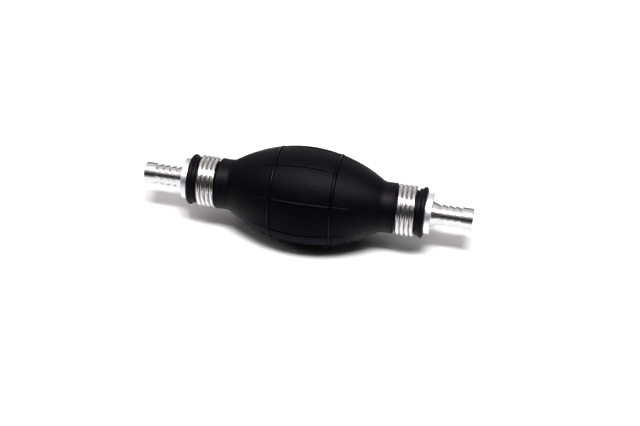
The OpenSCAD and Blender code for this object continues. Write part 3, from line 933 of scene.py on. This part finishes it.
def mirrored_table(bench, along, across):
    """The colour of the table as a glossy ray meets it."""
    out = bench.maths("ABSOLUTE", along)
    past_left = band(bench, along, *BELLY_LEFT, low_out=1.0, high_out=0.0)
    clear_of_belly = bench.maths("MAXIMUM", band(bench, along, *BELLY_RIGHT), past_left)
    seen = bench.mix(clear_of_belly, UNDER_BELLY, grey(UNDER_CLAMP))
    seen = bench.mix(band(bench, out, *CLAMP_TO_TAIL), seen, grey(UNDER_TAIL))
    seen = bench.mix(band(bench, across, *FAR_TO_NEAR), grey(FAR_OFF), seen)
    behind_tail = band(bench, across, *BEHIND_TAIL) * band(bench, out, *BESIDE_BULB)
    behind = bench.maths("MAXIMUM", behind_tail, band(bench, across, *BEHIND_ALL))
    return bench.mix(behind, seen, grey(FAR_OFF))


def make_table():
    """A wide white sheet that touches the lowest point of the pump."""
    corners = [(-1, -1), (1, -1), (1, 1), (-1, 1)]
    mesh = bpy.data.meshes.new("table")
    mesh.from_pydata([(x * TABLE_HALF, y * TABLE_HALF, TABLE_Z) for x, y in corners], [], [(0, 1, 2, 3)])
    table = bpy.data.objects.new("table", mesh)
    bpy.context.scene.collection.objects.link(table)
    material, bench, body, place = finish(
        "table white", Roughness=0.9, Specular_IOR_Level=0.0, Emission_Strength=1.0)
    ray = bench.node("ShaderNodeLightPath").outputs
    along, across = axis_parts(bench, place)[:2]
    paper = bench.mix(noise(bench, place, 30, 3), grey(PAPER), grey(PAPER_MOTTLE))
    paper = bench.mix(ray["Is Glossy Ray"], paper, mirrored_table(bench, along, across))
    paper = bench.mix(ray["Is Camera Ray"], paper, grey(TABLE_WHITE))
    bench.plug(body.inputs["Base Color"], paper)
    away = bench.maths("SQRT", along * along + across * across)
    glow = band(bench, away, *GLOW) * Num(bench, ray["Is Camera Ray"])
    bench.plug(body.inputs["Emission Color"], bench.mix(glow, grey(0.0), grey(1.0)))
    mesh.materials.append(material)


make_table()
print("table at", round(TABLE_Z / MM, 2), "mm")

# %% [markdown]
# ### Two small cards
# In a studio, a small grey card that stands behind a shiny part draws a dark line along its top
# edge. There is one behind each hose tail. Only glossy rays meet the cards, so they cast no shadow
# and stay out of the picture. Both glow at the same grey, because cards lit by the lamps would
# change with them.

# %% Cards
CARD_Y, CARD_TOP_Z = 0.050, 0.024
CARD_START_X, CARD_END_X = 0.060, 0.120
CARD_GREY = 0.22


def make_card_finish():
    material, _, body, _ = finish(
        "card grey", Roughness=1.0, Specular_IOR_Level=0.0, Emission_Strength=1.0)
    body.inputs["Base Color"].default_value = grey(0.0)
    body.inputs["Emission Color"].default_value = grey(CARD_GREY)
    return material


def make_card(end, side, material):
    """A card behind one hose tail, that only mirrors see."""
    near, far = side * CARD_START_X, side * CARD_END_X
    corners = [(near, TABLE_Z), (far, TABLE_Z), (far, CARD_TOP_Z), (near, CARD_TOP_Z)]
    mesh = bpy.data.meshes.new(end + "_card")
    mesh.from_pydata([(x, CARD_Y, z) for x, z in corners], [], [(0, 1, 2, 3)])
    mesh.materials.append(material)
    card = bpy.data.objects.new(end + "_card", mesh)
    bpy.context.scene.collection.objects.link(card)
    for kind in ("camera", "diffuse", "transmission", "volume_scatter", "shadow"):
        setattr(card, "visible_" + kind, False)


card_finish = make_card_finish()
for end, side in {OUTLET: 1, INLET: -1}.items():
    make_card(end, side, card_finish)
print("cards reach from", CARD_START_X / MM, "to", CARD_END_X / MM, "mm along each tail")

# %% [markdown]
# ### Two lamps
# The key is a soft box high up and a little towards the camera. It is small for its distance, so
# the shadow of the tails stays readable. Glossy rays pass it by, because metal would mirror it as a
# hard patch. The gleam is the other way round: a long box right above the pump that only glossy
# rays meet. Black rubber shows hardly anything but its reflections, and this one draws the pale
# streak along its upper side.

# %% Lamps
LAMP_DISTANCE = 0.9


def soft_box(name, elevation, aside, length, width, power):
    """A lamp whose long side lies along X, turned to the pump. Angles in degrees."""
    lamp = bpy.data.lights.new(name, "AREA")
    lamp.shape = "RECTANGLE"
    lamp.size = length
    lamp.size_y = width
    lamp.energy = power
    holder = bpy.data.objects.new(name, lamp)
    bpy.context.scene.collection.objects.link(holder)
    e, a = math.radians(elevation), math.radians(aside)
    towards = Vector((math.sin(a), -math.cos(e) * math.cos(a), math.sin(e) * math.cos(a)))
    along = (Vector((1, 0, 0)) - towards * towards.x).normalized()
    turn = Matrix((along, towards.cross(along), towards)).transposed().to_4x4()
    holder.matrix_world = Matrix.Translation(towards * LAMP_DISTANCE) @ turn
    print(name, power, "W")
    return holder


key = soft_box("key", elevation=73.9, aside=5, length=0.42, width=0.135, power=6.0)
key.visible_glossy = False
gleam = soft_box("gleam", elevation=86, aside=12, length=1.4, width=0.30, power=22.0)
gleam.data.color = (1.0, 0.95, 1.0)
gleam.visible_diffuse = False

# %% [markdown]
# ### The world
# Seen along the pump the room is a ring of greys round the flow axis, and a colour ramp over the
# angle holds it. One ramp is the light: a pale ceiling that fills the shadow. The other is what
# glossy rays meet: bright low down, then a dark strip on the camera's side, whose image is the dark
# band along the metal, then the ceiling and a paler back wall. Towards the side walls both end,
# each over a span of x in the direction of the ray. World sampling is off, or else its rays would
# pass by the glossy ramp on rough surfaces.

# %% World
LIT_FROM = [(59, 0.0), (73, 0.77), (133, 0.77), (145, 0.0)]
MIRRORED = [
    (-20, 1.3), (-6, 1.3), (-1, 0.85), (4, 0.4), (10, 0.14), (16, 0.055), (22, 0.03), (40, 0.03),
    (47, 0.1), (52, 0.2), (58, 0.42), (66, 0.58), (72, 0.64), (78, 0.85), (84, 1.1), (110, 1.05),
    (122, 0.8), (132, 0.6), (146, 0.6), (156, 0.65), (167, 0.95), (177, 1.3), (200, 1.3),
]
ROOM_TINT = (1.03, 0.965, 0.985, 1)
SIDE_WALL = 0.07
LEFT_END, LIT_END, MIRRORED_END = (-0.92, -0.78), (0.22, 0.42), (0.50, 0.68)
RING_START, FULL_TURN = -90.0, 360.0


def sky(bench, turn, stops):
    """Greys over the angle round X in degrees, 0 at the horizon on the camera's side."""
    share = (turn - RING_START) / FULL_TURN
    places = [((degrees - RING_START) / FULL_TURN, grey(bright)[:3]) for degrees, bright in stops]
    return bench.node("ShaderNodeValToRGB", {"stops": places}, {"Fac": share}).outputs["Color"]


def make_world():
    """The room that lights the pump, that its metal mirrors and that the camera sees as white."""
    world = bpy.data.worlds.new("studio")
    bpy.context.scene.world = world
    world.use_nodes = True
    world.cycles.sampling_method = "NONE"
    bench = Bench(world.node_tree)
    background = world.node_tree.nodes["Background"]
    x, y, z = axis_parts(bench, bench.node("ShaderNodeTexCoord").outputs["Generated"])
    turn = bench.maths("ARCTAN2", z, -y) * (180 / math.pi)
    turn = bench.maths("WRAP", turn, RING_START + FULL_TURN, RING_START)
    left_end = band(bench, x, *LEFT_END)
    lit_span = left_end * band(bench, x, *LIT_END, low_out=1.0, high_out=0.0)
    mirrored_span = left_end * band(bench, x, *MIRRORED_END, low_out=1.0, high_out=0.0)
    lit = bench.mix(lit_span, grey(0.0), sky(bench, turn, LIT_FROM))
    mirrored_room = bench.mix(mirrored_span, grey(SIDE_WALL), sky(bench, turn, MIRRORED))
    ray = bench.node("ShaderNodeLightPath").outputs
    light = bench.mix(ray["Is Glossy Ray"], lit, mirrored_room)
    light = bench.mix(1.0, light, ROOM_TINT, "MULTIPLY")
    bench.plug(background.inputs["Color"], bench.mix(ray["Is Camera Ray"], light, grey(1.0)))


make_world()
print("room of", len(LIT_FROM), "steps for the light and", len(MIRRORED), "for the mirrors")

# %% [markdown]
# ## The camera
# The camera looks down on the pump at 46 degrees from a little to the right of square on. A long
# lens from 64 cm keeps the two ends nearly the same size. Its place is written in millimetres along
# its own right, up and back, which makes a small shift of the picture a change of one number.

# %% Camera
CAMERA_AZIMUTH, CAMERA_ELEVATION = math.radians(11.4), math.radians(46)
CAMERA_ROLL = math.radians(0.15)
CAMERA_OFFSET = (6.37, -8.55, 638.43)
LENS, SENSOR, NEAR_CLIP = 73.125, 36.0, 0.01


def make_camera():
    """A camera whose place is given along its own right, up and back."""
    a, e = CAMERA_AZIMUTH, CAMERA_ELEVATION
    right = Vector((math.cos(a), math.sin(a), 0))
    up = Vector((-math.sin(a) * math.sin(e), math.cos(a) * math.sin(e), math.cos(e)))
    back = Vector((math.sin(a) * math.cos(e), -math.cos(a) * math.cos(e), math.sin(e)))
    lens = bpy.data.cameras.new("camera")
    lens.lens = LENS
    lens.sensor_width = SENSOR
    lens.clip_start = NEAR_CLIP
    camera = bpy.data.objects.new("camera", lens)
    bpy.context.scene.collection.objects.link(camera)
    place = (right * CAMERA_OFFSET[0] + up * CAMERA_OFFSET[1] + back * CAMERA_OFFSET[2]) * MM
    turn = Matrix((right, up, back)).transposed().to_4x4()
    camera.matrix_world = Matrix.Translation(place) @ turn @ Matrix.Rotation(CAMERA_ROLL, 4, "Z")
    bpy.context.scene.camera = camera
    return camera


camera = make_camera()
bpy.context.scene.view_settings.view_transform = "Standard"
print("camera at", [round(v, 3) for v in camera.matrix_world.translation])

# %% [markdown]
# ## The frame's box
# The box of the frame's own pieces is printed as plain numbers.

# %% Measure and finish
def plain(box):
    """A box as lists of plain numbers, which json can write."""
    return [[float(v) for v in corner] for corner in box]


print("cad box   ", plain(cad_box))
